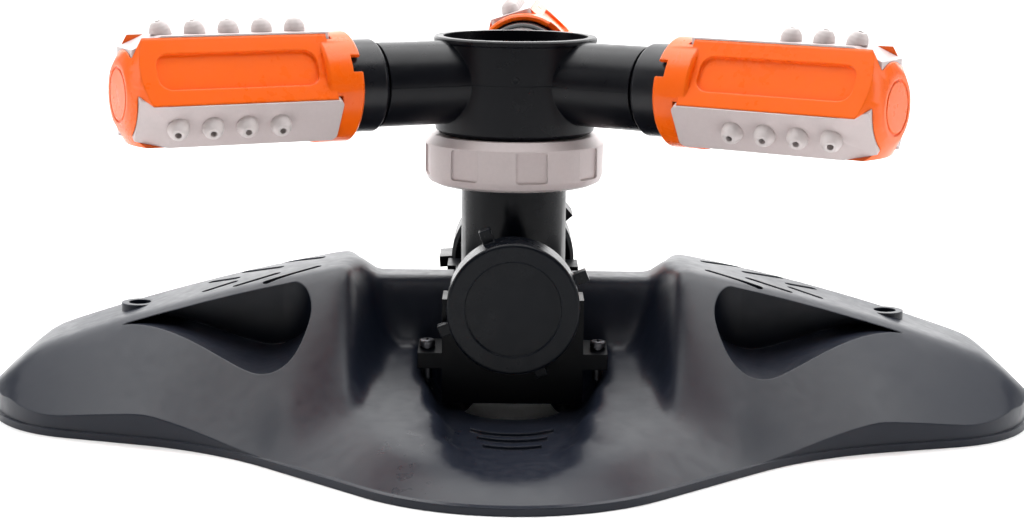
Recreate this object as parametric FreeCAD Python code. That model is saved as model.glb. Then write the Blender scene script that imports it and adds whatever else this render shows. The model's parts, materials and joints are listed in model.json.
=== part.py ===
import FreeCAD, Part
# Three-arm rotary lawn sprinkler on a wide moulded base.
#
# Frame: +Z up, X across the two wings, Y along the water pipe (inlet at +Y, capped outlet at -Y).
# The origin is on the ground, midway between the two ground-stake holes and under the rotor's axis.
# Millimetres. Every piece is its own solid and is written to parts/NODE.step.
import math
import os

from FreeCAD import Vector

# ---------------------------------------------------------------- driving dimensions
# base outline, seen from above
BASE_HALF_WIDTH = 127.0      # wing tip to rotor axis
BASE_HALF_DEPTH = 93.5       # front lobe to rotor axis
LOBE_RADIUS = 46.0           # round front and rear lobes
LOBE_FLANK_DEG = 43.0        # slope of the line that leaves the lobe
WING_EDGE_Y = 46.5           # where the lobe's flank would meet the wing's edge
WING_EDGE_DEG = 16.2         # sweep of the wing's front edge
WAIST_RADIUS = 80.0          # concave corner between lobe and wing
TIP_RADIUS = 31.0            # convex corner at the wing tip
LIP_PROUD = 0.6              # foot lip round the bottom edge
LIP_HEIGHT = 1.8
BASE_WALL = 2.8

# base top surface
ROOF_TOP = 37.0              # ridge height at the wing's inner end
ROOF_START_X = 42.0
ROOF_SLOPE = 0.19
ROOF_BEND = 0.0011           # per mm, the ridge droops towards the tip
ROOF_HALF_DEPTH = 13.5       # half width of the flat ridge
SKIRT_AT_TIP = 8.5          # height of the upright skirt at the wing tip
SKIRT_START_X = 52.0         # the skirt grows out of the lobe's flank here
SKIRT_INSET = 1.2
TIP_SLOPE = 0.9              # fall of the wing's end face
LOBE_SLOPE = 0.45            # rise of the lobe's rim
FACE_SLOPE = 0.69            # least rise of the wing's front face
BLEND = 1.6                  # softening of the creases

# basin between the wings
BRIDGE_TOP = 33.6            # cross wall that carries the pipe
BRIDGE_HALF_DEPTH = 6.5
RAMP_TOP = 18.5              # basin floor beside the bridge
RAMP_SLOPE = 0.17
RAMP_HALF_WIDTH = 29.0       # basin floor's half width beside the bridge
RAMP_FLARE = 0.17            # the floor widens towards the lobe
WING_WALL_SLOPE = 2.1        # inner wall of each wing
BRIDGE_WALL_SLOPE = 4.0

# dished tongue in each lobe
TONGUE_FLOOR = 5.0
TONGUE_HALF_WIDTH = 18.4     # of its floor, at TONGUE_START_Y
TONGUE_START_Y = 28.0
TONGUE_TAPER = 0.155
TONGUE_END_Y = 71.8          # centre of the round end
TONGUE_END_RADIUS = 11.9
TONGUE_WALL_SLOPE = 4.5
DRAIN_RADIUS = 12.7          # half-moon opening under the pipe
DRAIN_Y = 21.8
RIBS = ((49.2, 9.6), (54.4, 8.0), (60.4, 6.6))   # (apex y, half length) of each grip rib
RIB_RADIUS = 12.0
RIB_WIDTH = 1.1
RIB_PROUD = 0.8

# recess in each wing face, and the roof slots
POCKET_TIP_X = 95.0
POCKET_LIP = ((84.2, 22.6), (73.8, 20.0), (65.0, 17.0), (58.2, 16.0),
              (51.6, 19.5), (48.8, 24.8), (48.2, 29.8), (50.2, 32.8))
POCKET_ROOF_GAP = 1.3        # roof left over the recess
POCKET_BACK_Y = 5.0          # the recess's rear wall, from the mid plane
POCKET_WALL = 2.0
POCKET_CORNER = 9.0          # round inner corner of the recess, seen from above
SLOTS = ((72.4, 4.1, 9.4), (63.0, 6.6, 12.4), (54.0, 9.1, 15.2))   # (x, y, length)
SLOT_WIDTH = 2.2
SLOT_DEG = 27.0
SLOT_DEPTH = 1.4
STAKE_HOLE_X = 93.0
STAKE_HOLE_RADIUS = 2.75
STAKE_BOSS_RADIUS = 5.4
STAKE_RIM_RADIUS = 4.5
STAKE_RIM = 0.8
SPLINE_PITCH = 3.0           # pole spacing of the skin
INNER_PITCH = 5.0

# water pipe (tee), its cradle, the cap in front and the swivel inlet behind
PIPE_Z = 32.2
PIPE_RADIUS = 12.5
PIPE_BORE = 8.0
PIPE_END_Y = 25.5            # rear end of the tee
THREAD_RADIUS = 13.2         # hose thread, modelled plain
THREAD_LENGTH = 8.0
NECK_RADIUS = 12.9
NECK_TOP = 56.0
NECK_BORE = 7.5
CAP_FACE_Y = -38.8
CAP_RADIUS = 15.5
CAP_LENGTH = 10.4
CAP_END_WALL = 2.8
CAP_RECESS_RADIUS = 11.2
CAP_RECESS = 0.8
CAP_LUGS = 4
CAP_LUG_DEG = 22.0
CAP_LUG_LENGTH = 3.6
LUG_REACH = 3.2
LUG_WIDTH = 2.8
WASHER = 1.5
FOOT = (8.0, 12.0, 17.8)     # the tee's foot: half width, half length, bottom
NOTCH_HALF_WIDTH = 14.6      # gap in the bridge that takes the cradle
NOTCH_FLOOR = 15.0
NOTCH_WALL = 3.0
CRADLE_END_Y = 27.0
CRADLE_BLOCK_Y = 16.4
CRADLE_HALF_WIDTH = 16.8
CRADLE_EAR_HALF_WIDTH = 22.6
CRADLE_EAR_Y = 18.0
CRADLE_EAR = 3.8
CRADLE_BOTTOM = 7.0
SCREW_SHANK = 1.2
SCREW_HEAD = 1.9
SCREW_HEAD_HEIGHT = 1.5
SCREW_BITE = 7.0
EAR_SCREW = (20.4, 23.0)
FOOT_SCREW_Y = 5.0
TAIL_RADIUS = 9.5            # tailpiece that the inlet nut turns on
TAIL_BORE = 7.0
TAIL_SEAT = 10.0
TAIL_FLANGE_RADIUS = 12.2
TAIL_FLANGE = 2.0
NUT_START_Y = 27.8
NUT_RADIUS = 16.0
NUT_LENGTH = 18.0
NUT_LIP = 2.5
NUT_THREAD_LENGTH = 10.4
NUT_LUGS = 5
NUT_LUG_DEG = 184.0

# rotor
ARM_Z = 81.8
HUB_RADIUS = 19.5
HUB_RIM_RADIUS = 19.95
HUB_RIM = 1.6
HUB_BOTTOM = 69.1
HUB_TOP = 92.5
HUB_WALL = 2.6
HUB_FLOOR = 5.2              # wall between the spindle's flange and the water chamber
LID_DEPTH = 3.4              # the lid sits this far under the rim
LID_THICKNESS = 2.4
RING_BOTTOM = 56.6
RING_TOP = 68.7
RING_RADIUS = 21.9
RING_POCKETS = 8
RING_POCKET_DEG = 20.0
RING_POCKET_PHASE = 11.0
RING_POCKET_DEPTH = 0.9
RING_FLOOR = 3.0
SKIRT_RADIUS = 17.6          # hub's threaded skirt inside the ring
SKIRT_BORE = 13.9
SPINDLE_RADIUS = 9.0
SPINDLE_BORE = 6.5
SPINDLE_FLANGE_RADIUS = 13.4
SPINDLE_FLANGE = 3.0
SPINDLE_SEAT = 12.0          # length pressed in the neck
THRUST_WASHER = 0.8
SEAL_WIDTH = 1.8

# arms
ARM_AZIMUTHS = (207.0, 327.0, 87.0)   # left, right, rear
ARM_ROLL = (0.0, 120.0, 18.0)         # how far each spray head is turned at rest
ARM_PIPE_RADIUS = 10.0
ARM_PIPE_END = 41.4
ARM_BORE = 4.5
SPIGOT_RADIUS = 6.5
SPIGOT_END = 55.4
ORING_AT = 51.6
ORING_WIRE = 0.9
COLLAR_RADIUS = 10.9
COLLAR_START = 38.0
COLLAR_END = 50.2
NOSE_RADIUS = 9.0            # threaded nose that the collar screws on
CORE_TAIL_RADIUS = 7.8
CORE_FLANGE_RADIUS = 8.7
CORE_FLANGE = 2.0
HEAD_START = 45.2            # inner end of the spray head
HEAD_END = 99.8
CORE_START = 52.2            # inner end of the strips' body
STRIP_APOTHEM = 13.25
STRIP_HALF_WIDTH = 5.55
STRIP_START = 50.8
STRIP_CHAMFER = (7.0, 3.0)   # length, drop at the outer end
CORE_RADIUS = 9.2            # water chamber's outer radius
CORE_WALL = 1.6
PANEL_APOTHEM = 11.3
CAGE_THICKNESS = 1.5
CAGE_RING_RADIUS = 12.9
CAGE_RING_END = 54.2
CAGE_END_WALL = 5.6
END_TAPER = (5.0, 7.4)       # cone at the outer end: length, radius of its flat
STRIP_BACK = 1.7             # the strips stop this far short of the head's end
STRIP_SEAT = 8.6             # the strips' underside over the end wall
END_DISC = (5.7, 0.6, 0.35)   # round disc on the end wall: radius, groove's width, groove's depth
CAGE_NOTCHES = 3
CAGE_NOTCH = (4.2, 2.6)      # width round the ring, depth along the arm
WINDOW = (8.8, 0.8)          # shallow panel: width, depth
WINDOW_MARGIN = 2.0
NOZZLE_PITCH = 8.0
NOZZLE_OUTER = 89.6          # outermost nozzle of every strip
NOZZLE_RADIUS = 2.45
NOZZLE_HEIGHT = 3.0
NOZZLE_TIP_RADIUS = 1.35
NOZZLE_ORIFICE = 0.75
NOZZLE_STUB = (1.5, 3.0)     # radius, depth of the plug in the strip
NOZZLE_TILTS = (16.0, 12.0, 8.0, 5.0, 2.0)   # outermost first
STRIP_NOZZLES = (5, 4, 3)
CLEARANCE = 0.35
SEAT = 0.03                  # clearance of pieces that are fixed to each other
RUN = 0.05                   # radial clearance of a running fit


# ---------------------------------------------------------------- helpers
def cyl(radius, start, end, at=(0.0, 0.0), axis="z"):
    """Cylinder along an axis from start to end; at gives its place across the axis."""
    if axis == "z":
        return Part.makeCylinder(radius, end - start, Vector(at[0], at[1], start), Vector(0, 0, 1))
    if axis == "y":
        return Part.makeCylinder(radius, end - start, Vector(at[0], start, at[1]), Vector(0, 1, 0))
    return Part.makeCylinder(radius, end - start, Vector(start, at[0], at[1]), Vector(1, 0, 0))


def box(x0, x1, y0, y1, z0, z1):
    """Box between two corners."""
    return Part.makeBox(x1 - x0, y1 - y0, z1 - z0, Vector(x0, y0, z0))


def turned(points):
    """Solid of revolution about Z from (radius, z) points."""
    wire = Part.makePolygon([Vector(r, 0, z) for r, z in points] + [Vector(points[0][0], 0, points[0][1])])
    return Part.Face(wire).revolve(Vector(0, 0, 0), Vector(0, 0, 1), 360)


def along_y(shape, y, z=PIPE_Z):
    """Stands a shape that was turned about Z on the pipe's axis, with its +Z towards +Y."""
    shape = shape.copy()
    shape.rotate(Vector(0, 0, 0), Vector(1, 0, 0), -90)
    shape.translate(Vector(0, y, z))
    return shape


def mirrored(shape, *normals):
    """The shape with its mirror images across planes through the origin."""
    shapes = [shape]
    for normal in normals:
        shapes += [s.mirror(Vector(0, 0, 0), normal) for s in shapes]
    return shapes


def union(shapes):
    """One solid from several that touch."""
    return shapes[0].multiFuse(shapes[1:]).removeSplitter() if len(shapes) > 1 else shapes[0]


def soft_min(a, b, r=BLEND):
    """The lower of two heights with a rounded crease."""
    h = max(r - abs(a - b), 0.0) / r
    return min(a, b) - h * h * r / 4


def soft_max(a, b, r=BLEND):
    """The higher of two heights with a rounded crease."""
    return -soft_min(-a, -b, r)


def slope_drop(slope, wall):
    """Vertical drop that keeps a wall's thickness square to a sloping face."""
    return wall * math.sqrt(1.0 + slope * slope)


# ---------------------------------------------------------------- base shell
LOBE_Y = BASE_HALF_DEPTH - LOBE_RADIUS
FLANK = math.tan(math.radians(LOBE_FLANK_DEG))
SWEEP = math.tan(math.radians(WING_EDGE_DEG))
FLANK_X = LOBE_RADIUS * math.sin(math.radians(LOBE_FLANK_DEG))
FLANK_Y = LOBE_Y + LOBE_RADIUS * math.cos(math.radians(LOBE_FLANK_DEG))
WAIST_X = FLANK_X + (FLANK_Y - WING_EDGE_Y) / FLANK
TIP_REACH = TIP_RADIUS * math.tan(math.radians(90.0 - WING_EDGE_DEG) / 2)
TIP_Y = WING_EDGE_Y - SWEEP * (BASE_HALF_WIDTH - WAIST_X) - TIP_REACH   # centre of the tip's corner


def half_depth(x):
    """Half depth of the outline at a distance x from the middle."""
    x = abs(x)
    if x < FLANK_X:
        return LOBE_Y + math.sqrt(LOBE_RADIUS ** 2 - x * x)
    flank = FLANK_Y - FLANK * (x - FLANK_X)
    wing = WING_EDGE_Y - SWEEP * (x - WAIST_X)
    corner = BASE_HALF_WIDTH - TIP_RADIUS
    edge = soft_max(flank, wing, 12.0)
    if x > corner:
        round_tip = math.sqrt(max(TIP_RADIUS ** 2 - (x - corner) ** 2, 0.0)) + TIP_Y
        edge = min(edge, round_tip)
    return edge


def roof_height(x):
    """Height of a wing's ridge."""
    run = max(x - ROOF_START_X, 0.0)
    return ROOF_TOP - ROOF_SLOPE * run - ROOF_BEND * run ** 2


def skin_height(x, y, wall=0.0):
    """Height of the base's top surface, or of its inner surface a wall below it."""
    x, y = abs(x), abs(y)
    roof = roof_height(x)
    edge = half_depth(min(x, BASE_HALF_WIDTH - 1.0))
    grown = min(max((x - SKIRT_START_X) / 40.0, 0.0), 1.0)
    skirt = LIP_HEIGHT + (SKIRT_AT_TIP - LIP_HEIGHT) * grown * grown * (3 - 2 * grown)
    ridge = min(ROOF_HALF_DEPTH, edge - 5.0)
    face_slope = max(FACE_SLOPE, (roof - skirt) / (edge - SKIRT_INSET - ridge))
    face = roof - face_slope * (y - ridge) - slope_drop(face_slope, wall)
    band = LIP_HEIGHT + LOBE_SLOPE * (edge - SKIRT_INSET - y) - slope_drop(LOBE_SLOPE, wall)
    face = soft_max(face, band)
    end = SKIRT_AT_TIP + TIP_SLOPE * (BASE_HALF_WIDTH - SKIRT_INSET - x)
    hull = soft_min(roof - wall, face)
    hull = soft_min(hull, end - slope_drop(TIP_SLOPE, wall))

    floor = RAMP_TOP - RAMP_SLOPE * (y - BRIDGE_HALF_DEPTH) - wall
    flare = RAMP_HALF_WIDTH + RAMP_FLARE * (y - BRIDGE_HALF_DEPTH)
    wing_wall = floor + wall + WING_WALL_SLOPE * (x - flare) - slope_drop(WING_WALL_SLOPE, wall)
    bridge = BRIDGE_TOP - BRIDGE_WALL_SLOPE * max(y - BRIDGE_HALF_DEPTH, 0.0) - wall
    if y > BRIDGE_HALF_DEPTH:
        bridge -= slope_drop(BRIDGE_WALL_SLOPE, wall) - wall
    if y < TONGUE_END_Y:
        outside = x - TONGUE_HALF_WIDTH + TONGUE_TAPER * max(y - TONGUE_START_Y, 0.0)
    else:
        outside = math.hypot(x, y - TONGUE_END_Y) - TONGUE_END_RADIUS
    tongue = TONGUE_FLOOR + TONGUE_WALL_SLOPE * max(outside, 0.0) - wall
    if outside > 0:
        tongue -= slope_drop(TONGUE_WALL_SLOPE, wall) - wall
    basin = soft_min(floor, tongue, 0.8)
    basin = soft_max(basin, wing_wall)
    basin = soft_max(basin, bridge)
    return soft_min(hull, basin, 3.0 if y < ROOF_HALF_DEPTH + 5.0 else BLEND)


def spline_points(start, end, pitch):
    """Even knots from start to end, and the places of a cubic spline's poles over them."""
    count = int(round((end - start) / pitch))
    knots = [start + (end - start) * i / count for i in range(count + 1)]
    full = [knots[0]] * 3 + knots + [knots[-1]] * 3
    poles = [sum(full[i + 1:i + 4]) / 3.0 for i in range(len(full) - 4)]
    mults = [4] + [1] * (count - 1) + [4]
    return knots, mults, poles


def under_skin(wall=0.0, pitch=SPLINE_PITCH, lowest=-12.0):
    """Solid block under the base's skin, or under a surface a wall below it."""
    reach = (BASE_HALF_WIDTH + 3.0, BASE_HALF_DEPTH + 3.0)
    kx, mx, px = spline_points(-reach[0], reach[0], pitch)
    ky, my, py = spline_points(-reach[1], reach[1], pitch)
    poles = [[Vector(x, y, max(skin_height(x, y, wall), lowest + 1.0)) for y in py] for x in px]
    skin = Part.BSplineSurface()
    skin.buildFromPolesMultsKnots(poles, mx, my, kx, ky, False, False, 3, 3)
    return skin.toShape().extrude(Vector(0, 0, -60))


def outline_wire(inset=0.0):
    """The base's outline seen from above, drawn inset from its edge."""
    turn = math.radians(LOBE_FLANK_DEG - WING_EDGE_DEG) / 2
    reach = WAIST_RADIUS * math.tan(turn)
    flank = Vector(math.cos(math.radians(LOBE_FLANK_DEG)), -math.sin(math.radians(LOBE_FLANK_DEG)), 0)
    wing = Vector(math.cos(math.radians(WING_EDGE_DEG)), -math.sin(math.radians(WING_EDGE_DEG)), 0)
    waist = Vector(WAIST_X, WING_EDGE_Y, 0)
    tip = Vector(BASE_HALF_WIDTH, WING_EDGE_Y - SWEEP * (BASE_HALF_WIDTH - WAIST_X), 0)
    out_of_lobe = Vector(FLANK_X, FLANK_Y, 0)
    half = math.radians(LOBE_FLANK_DEG / 2)
    lobe_mid = Vector(LOBE_RADIUS * math.sin(half), LOBE_Y + LOBE_RADIUS * math.cos(half), 0)
    start = waist - flank * reach
    end = waist + wing * reach
    sag = WAIST_RADIUS * (1 / math.cos(math.radians(LOBE_FLANK_DEG - WING_EDGE_DEG) / 2) - 1)
    inward = (wing - flank).normalize()
    to_tip = tip - wing * TIP_REACH
    down = tip - Vector(0, TIP_REACH, 0)
    bulge = (wing * -1 + Vector(0, -1, 0)).normalize()
    tip_sag = TIP_RADIUS * (1 / math.cos(math.radians(90.0 - WING_EDGE_DEG) / 2) - 1)
    lobe = Part.Arc(Vector(0, BASE_HALF_DEPTH, 0), lobe_mid, out_of_lobe).toShape()
    waist_arc = Part.Arc(start, waist + inward * sag, end).toShape()
    tip_arc = Part.Arc(to_tip, tip + bulge * tip_sag, down).toShape()
    quarter = [lobe, Part.makeLine(out_of_lobe, start), waist_arc,
               Part.makeLine(end, to_tip), tip_arc, Part.makeLine(down, Vector(down.x, 0, 0))]
    quarter = Part.Compound(quarter)
    edges = [edge for part in mirrored(quarter, Vector(1, 0, 0), Vector(0, 1, 0)) for edge in part.Edges]
    wire = Part.Wire(Part.__sortEdges__(edges))
    return wire.makeOffset2D(-inset) if inset else wire


def outline_block(inset, bottom, top):
    """Upright prism over the outline."""
    block = Part.Face(outline_wire(inset)).extrude(Vector(0, 0, top - bottom))
    block.translate(Vector(0, 0, bottom))
    return block


def pocket_block(wall=0.0):
    """The recess in the +X +Y wing face, or a block a wall's thickness larger all round."""
    tip = (POCKET_TIP_X, roof_height(POCKET_TIP_X) - POCKET_ROOF_GAP)
    lip = [tip] + list(POCKET_LIP)
    under = [(x, roof_height(x) - POCKET_ROOF_GAP) for x in (54.0, 60.0, 68.0, 76.0, 84.0, 90.0)]
    curve = Part.BSplineCurve()
    curve.interpolate([Vector(x, 0, z) for x, z in lip + under[:1]])
    roof = Part.BSplineCurve()
    roof.interpolate([Vector(x, 0, z) for x, z in under + [tip]])
    wire = Part.Wire([curve.toShape(), roof.toShape()])
    if wall:
        points = wire.discretize(Number=60)
        wire = Part.makePolygon(points[:-1] + [points[0]]).makeOffset2D(wall)
    block = Part.Face(wire).extrude(Vector(0, BASE_HALF_DEPTH, 0))
    plan = box(POCKET_LIP[-2][0] - 0.5 - wall, POCKET_TIP_X + 4.0 + wall, POCKET_BACK_Y - wall,
               BASE_HALF_DEPTH, -5.0, ROOF_TOP + 5.0)
    upright = [e for e in plan.Edges if abs(e.tangentAt(e.FirstParameter).z) > 0.9
               and e.BoundBox.YMin < POCKET_BACK_Y + 1.0]
    plan = plan.makeFillet(POCKET_CORNER + wall, upright)
    return block.common(plan)


def roof_slots():
    """Three slanting slots for each quarter of the roof."""
    tools = []
    for x, y, length in SLOTS:
        run = length - SLOT_WIDTH
        ends = [cyl(SLOT_WIDTH / 2, 10.0, ROOF_TOP + 5.0, (s * run / 2, 0.0)) for s in (-1, 1)]
        bar = box(-run / 2, run / 2, -SLOT_WIDTH / 2, SLOT_WIDTH / 2, 10.0, ROOF_TOP + 5.0)
        tool = union([bar] + ends)
        tool.rotate(Vector(0, 0, 0), Vector(0, 0, 1), SLOT_DEG)
        tool.translate(Vector(x, y, 0))
        tools += mirrored(tool, Vector(1, 0, 0), Vector(0, 1, 0))
    return Part.Compound(tools).cut(under_skin(SLOT_DEPTH, INNER_PITCH))


def lip_ring():
    """Foot lip that stands proud round the bottom edge."""
    ring = outline_block(-LIP_PROUD, 0.0, LIP_HEIGHT).cut(outline_block(BASE_WALL / 2, -1.0, LIP_HEIGHT + 1.0))
    return ring


def grip_ribs():
    """Curved ribs on the tongue's floor."""
    ribs = []
    for apex, half in RIBS:
        ring = cyl(RIB_RADIUS + RIB_WIDTH / 2, TONGUE_FLOOR - 0.8, TONGUE_FLOOR + RIB_PROUD,
                   (0.0, apex - RIB_RADIUS))
        ring = ring.cut(cyl(RIB_RADIUS - RIB_WIDTH / 2, 0.0, 20.0, (0.0, apex - RIB_RADIUS)))
        ribs.append(ring.common(box(-half, half, apex - RIB_RADIUS, apex + 5.0, 0.0, 20.0)))
    return mirrored(Part.Compound(ribs), Vector(0, 1, 0))


def base_shell():
    """Hollow moulded base with its wings, bridge, tongues and recesses."""
    outer = under_skin().common(outline_block(0.0, 0.0, ROOF_TOP + 5.0))
    quarters = (Vector(1, 0, 0), Vector(0, 1, 0))
    cavity = under_skin(BASE_WALL, INNER_PITCH).common(outline_block(BASE_WALL, -1.0, ROOF_TOP))
    stake = [cyl(STAKE_BOSS_RADIUS, -2.0, ROOF_TOP, (s * STAKE_HOLE_X, 0.0)) for s in (-1, 1)]
    bosses = mirrored(cyl(3.4, -2.0, ROOF_TOP, EAR_SCREW), *quarters)
    thick = NOTCH_HALF_WIDTH + NOTCH_WALL
    notch_walls = box(-thick, thick, -CRADLE_BLOCK_Y, CRADLE_BLOCK_Y, NOTCH_FLOOR - NOTCH_WALL, ROOF_TOP)
    keep = mirrored(pocket_block(POCKET_WALL), *quarters) + stake + bosses + [notch_walls]
    cavity = cavity.cut(Part.Compound(keep))
    shell = outer.cut(cavity)
    shell = shell.multiFuse([lip_ring()] + grip_ribs())
    rims = [cyl(STAKE_RIM_RADIUS, roof_height(STAKE_HOLE_X) - 2.0, roof_height(STAKE_HOLE_X) + STAKE_RIM,
                (s * STAKE_HOLE_X, 0.0)) for s in (-1, 1)]
    shell = shell.multiFuse(rims)
    tools = mirrored(pocket_block(), *quarters)
    tools += [cyl(STAKE_HOLE_RADIUS, -2.0, ROOF_TOP + 5.0, (s * STAKE_HOLE_X, 0.0)) for s in (-1, 1)]
    tools += [cyl(DRAIN_RADIUS, -2.0, TONGUE_FLOOR + 4.0, (0.0, s * DRAIN_Y)) for s in (-1, 1)]
    tools.append(box(-NOTCH_HALF_WIDTH, NOTCH_HALF_WIDTH, -CRADLE_BLOCK_Y, CRADLE_BLOCK_Y,
                     NOTCH_FLOOR, ROOF_TOP + 5.0))
    tools += mirrored(cyl(SCREW_SHANK + SEAT, RAMP_TOP - SCREW_BITE - 4.0, ROOF_TOP, EAR_SCREW), *quarters)
    tools += [cyl(SCREW_SHANK + SEAT, 0.0, NOTCH_FLOOR + 1.0, (0.0, s * FOOT_SCREW_Y)) for s in (-1, 1)]
    shell = shell.cut(Part.Compound(tools))
    return shell.cut(roof_slots())


# ---------------------------------------------------------------- pipe, cradle, cap and inlet
def rear_lugs(count, phase, radius, start, end):
    """Grip lugs round a nut whose axis is the pipe's."""
    lugs = []
    for i in range(count):
        lug = box(radius - 1.5, radius + LUG_REACH, start, end, -LUG_WIDTH / 2, LUG_WIDTH / 2)
        lug.rotate(Vector(0, 0, 0), Vector(0, -1, 0), phase + 360.0 * i / count)
        lug.translate(Vector(0, 0, PIPE_Z))
        lugs.append(lug)
    return lugs


WASHER_Y = CAP_FACE_Y + CAP_END_WALL
PIPE_FRONT_Y = WASHER_Y + WASHER + SEAT


def tee_body():
    """Water pipe with its upright neck, threaded front end and foot."""
    at = (0.0, PIPE_Z)
    solid = [cyl(PIPE_RADIUS, PIPE_FRONT_Y, PIPE_END_Y, at, "y"),
             cyl(THREAD_RADIUS, PIPE_FRONT_Y, PIPE_FRONT_Y + THREAD_LENGTH - 1.5, at, "y"),
             cyl(NECK_RADIUS, PIPE_Z, NECK_TOP),
             box(-FOOT[0], FOOT[0], -FOOT[1], FOOT[1], FOOT[2], PIPE_Z)]
    body = union(solid)
    tools = [cyl(PIPE_BORE, PIPE_FRONT_Y - 1.0, PIPE_END_Y + 1.0, at, "y"),
             cyl(TAIL_RADIUS, PIPE_END_Y - TAIL_SEAT, PIPE_END_Y + 1.0, at, "y"),
             cyl(NECK_BORE, PIPE_Z, NECK_TOP + 1.0),
             cyl(SPINDLE_RADIUS, NECK_TOP - SPINDLE_SEAT, NECK_TOP + 1.0)]
    tools += [cyl(SCREW_SHANK + SEAT, FOOT[2] - 1.0, FOOT[2] + 4.5, (0.0, s * FOOT_SCREW_Y)) for s in (-1, 1)]
    return body.cut(Part.Compound(tools))


def tee_saddle():
    """Cradle that drops over the bridge and holds the pipe, with an ear at each corner."""
    half = CRADLE_HALF_WIDTH
    blocks = [box(-half, half, CRADLE_BLOCK_Y, CRADLE_END_Y, CRADLE_BOTTOM, PIPE_Z),
              box(-half, half, -CRADLE_END_Y, -CRADLE_BLOCK_Y, CRADLE_BOTTOM, PIPE_Z),
              box(-NOTCH_HALF_WIDTH + SEAT, NOTCH_HALF_WIDTH - SEAT, -CRADLE_END_Y, CRADLE_END_Y,
                  NOTCH_FLOOR + SEAT, PIPE_Z)]
    seat = 0.35
    near = RAMP_TOP - RAMP_SLOPE * (CRADLE_EAR_Y - BRIDGE_HALF_DEPTH) + seat
    far = RAMP_TOP - RAMP_SLOPE * (CRADLE_END_Y - BRIDGE_HALF_DEPTH) + seat
    ear = Part.Face(Part.makePolygon([Vector(-CRADLE_EAR_HALF_WIDTH, y, z) for y, z in (
        (CRADLE_EAR_Y, near), (CRADLE_END_Y, far), (CRADLE_END_Y, far + CRADLE_EAR),
        (CRADLE_EAR_Y, near + CRADLE_EAR), (CRADLE_EAR_Y, near))]))
    ear = ear.extrude(Vector(2 * CRADLE_EAR_HALF_WIDTH, 0, 0))
    blocks += mirrored(ear, Vector(0, 1, 0))
    saddle = blocks[0].multiFuse(blocks[1:])
    tools = [cyl(PIPE_RADIUS + SEAT, -CRADLE_END_Y - 1.0, CRADLE_END_Y + 1.0, (0.0, PIPE_Z), "y"),
             cyl(NECK_RADIUS + SEAT, PIPE_Z - 2.0, PIPE_Z + 5.0),
             box(-FOOT[0] - SEAT, FOOT[0] + SEAT, -FOOT[1] - SEAT, FOOT[1] + SEAT, FOOT[2] - SEAT, PIPE_Z)]
    tools += mirrored(cyl(SCREW_SHANK + SEAT, 0.0, PIPE_Z, EAR_SCREW), Vector(1, 0, 0), Vector(0, 1, 0))
    tools += [cyl(SCREW_SHANK + SEAT, 0.0, PIPE_Z, (0.0, s * FOOT_SCREW_Y)) for s in (-1, 1)]
    return saddle.cut(Part.Compound(tools)).removeSplitter()


def screw(x, y, seat, up):
    """Pan-head screw; seat is the height under its head, up is +1 when the head is on top."""
    head = cyl(SCREW_HEAD, 0.0, SCREW_HEAD_HEIGHT)
    top = [e for e in head.Edges if e.BoundBox.ZMin > SCREW_HEAD_HEIGHT - 0.01]
    head = head.makeFillet(0.6, top)
    slots = [box(-w, w, -d, d, SCREW_HEAD_HEIGHT - 0.7, SCREW_HEAD_HEIGHT + 1.0)
             for w, d in ((1.2, 0.25), (0.25, 1.2))]
    body = head.fuse(cyl(SCREW_SHANK, -SCREW_BITE - 1.0, 0.0)).cut(Part.Compound(slots))
    if up < 0:
        body.rotate(Vector(0, 0, 0), Vector(1, 0, 0), 180)
    body.translate(Vector(x, y, seat))
    return body


def saddle_screws():
    """Four screws through the cradle's ears."""
    y = EAR_SCREW[1]
    seat = RAMP_TOP - RAMP_SLOPE * (y - SCREW_HEAD - BRIDGE_HALF_DEPTH) + 0.4 + CRADLE_EAR
    return Part.Compound([screw(sx * EAR_SCREW[0], sy * y, seat, 1) for sx in (-1, 1) for sy in (-1, 1)])


def tee_screws():
    """Two screws that hold the pipe's foot from under the bridge."""
    return Part.Compound([screw(0.0, s * FOOT_SCREW_Y, NOTCH_FLOOR - NOTCH_WALL - SEAT, -1) for s in (-1, 1)])


def outlet_cap():
    """Screw cap on the front outlet."""
    at = (0.0, PIPE_Z)
    cap = cyl(CAP_RADIUS, CAP_FACE_Y, CAP_FACE_Y + CAP_LENGTH, at, "y")
    rim = [e for e in cap.Edges if e.BoundBox.YMax < CAP_FACE_Y + 0.01]
    cap = cap.makeFillet(0.8, rim)
    back = CAP_FACE_Y + CAP_LENGTH
    lugs = rear_lugs(CAP_LUGS, CAP_LUG_DEG, CAP_RADIUS, back - CAP_LUG_LENGTH, back)
    cap = cap.multiFuse(lugs)
    tools = [cyl(CAP_RECESS_RADIUS, CAP_FACE_Y - 1.0, CAP_FACE_Y + CAP_RECESS, at, "y"),
             cyl(THREAD_RADIUS + RUN, WASHER_Y, back + 1.0, at, "y")]
    return cap.cut(Part.Compound(tools)).removeSplitter()


def cap_washer():
    """Flat seal inside the cap."""
    at = (0.0, PIPE_Z)
    ring = cyl(THREAD_RADIUS - 0.05, WASHER_Y, WASHER_Y + WASHER, at, "y")
    return ring.cut(cyl(PIPE_BORE, WASHER_Y - 1.0, WASHER_Y + WASHER + 1.0, at, "y"))


def inlet_tailpiece():
    """Flanged tube that the swivel nut turns on."""
    start = PIPE_END_Y - TAIL_SEAT
    flange = NUT_START_Y + NUT_LIP + CLEARANCE
    at = (0.0, PIPE_Z)
    tube = cyl(TAIL_RADIUS - SEAT, start, flange + TAIL_FLANGE, at, "y")
    tube = tube.fuse(cyl(TAIL_FLANGE_RADIUS, flange, flange + TAIL_FLANGE, at, "y"))
    return tube.cut(cyl(TAIL_BORE, start - 1.0, flange + TAIL_FLANGE + 1.0, at, "y")).removeSplitter()


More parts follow.
